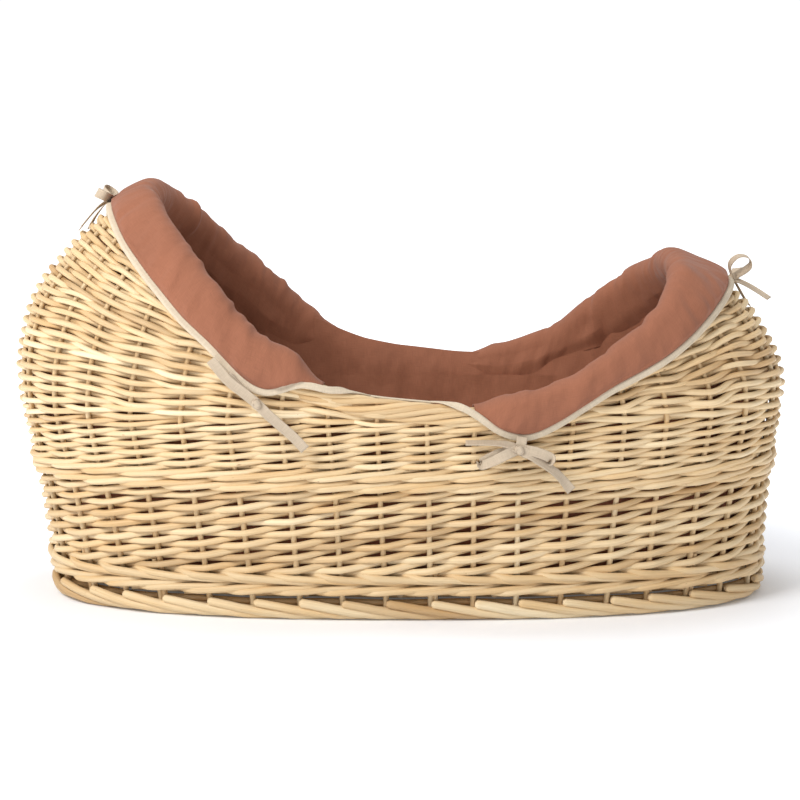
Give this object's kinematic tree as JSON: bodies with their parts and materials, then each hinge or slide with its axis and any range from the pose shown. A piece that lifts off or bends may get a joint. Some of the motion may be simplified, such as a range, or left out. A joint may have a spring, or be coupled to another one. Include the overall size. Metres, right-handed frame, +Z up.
{
  "type": "baby cradle",
  "caption": "Oval woven willow cradle with hooded head and foot ends, a padded cotton liner folded over the rim, cotton ties and a lift-out mattress.",
  "frame": {"origin": "on the floor under the middle of the cradle", "axes": "+X towards the low foot end, -X towards the tall head hood, +Z up, +Y across the cradle"},
  "size_m": [0.8529, 0.4376, 0.4602],
  "materials": {
    "wicker": "peeled willow, satin",
    "liner_cotton": "soft padded cotton",
    "binding_cotton": "bias binding",
    "tie_tape": "woven cotton tape",
    "mattress_foam": "foam",
    "mattress_cotton": "quilted cotton"
  },
  "bodies": {
    "basket": {"foot_border": "wicker", "base_long_sticks": "wicker", "base_cross_sticks": "wicker", "base_weave": "wicker", "side_stakes": "wicker", "foot_wale": "wicker", "lower_wall_weave": "wicker", "middle_wale": "wicker", "upper_wall_weave": "wicker", "head_hood_weave": "wicker", "foot_hood_weave": "wicker", "rim_border": "wicker", "liner_floor": "liner_cotton", "liner_wall": "liner_cotton", "head_hood_lining": "liner_cotton", "foot_hood_lining": "liner_cotton", "head_cuff": "liner_cotton", "foot_cuff": "liner_cotton", "head_binding": "binding_cotton", "foot_binding": "binding_cotton", "side_binding": "binding_cotton", "head_tie": "tie_tape", "foot_tie": "tie_tape", "front_head_tie": "tie_tape", "front_foot_tie": "tie_tape", "back_head_tie": "tie_tape", "back_foot_tie": "tie_tape"},
    "mattress": {"mattress_core": "mattress_foam", "mattress_cover": "mattress_cotton"}
  },
  "joints": [
    {"name": "mattress_lift", "type": "hinge", "parent": "basket", "child": "mattress", "pos_m": [0.362, 0, 0.076], "axis": [0, 1, 0], "range_deg": [0, 50]}
  ]
}
